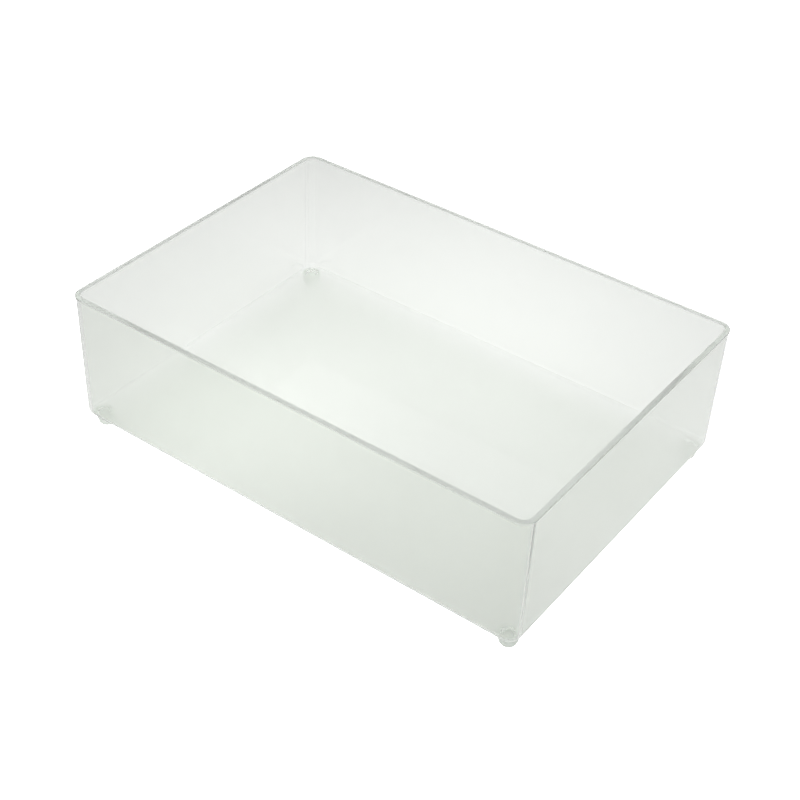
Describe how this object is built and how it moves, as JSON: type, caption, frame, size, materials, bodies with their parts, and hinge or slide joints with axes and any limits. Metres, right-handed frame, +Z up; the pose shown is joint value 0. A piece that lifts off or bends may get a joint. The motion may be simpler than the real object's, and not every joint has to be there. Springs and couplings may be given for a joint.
{
  "type": "open storage box",
  "caption": "Clear rectangular open-topped storage box with rounded corners, a stepped rim and small round soft feet.",
  "frame": {"origin": "on the surface that the feet stand on, under the middle of the box", "axes": "+X along the box's length, +Y across it towards the back, +Z up out of its open mouth"},
  "size_m": [0.3, 0.21, 0.0905],
  "materials": {
    "shell": "clear injection-moulded polystyrene, faint green tint, polished",
    "foot": "clear soft vinyl, slightly satin"
  },
  "bodies": {
    "root": {"box_shell": "shell", "foot_front_left": "foot", "foot_front_right": "foot", "foot_back_left": "foot", "foot_back_right": "foot"}
  },
  "joints": []
}
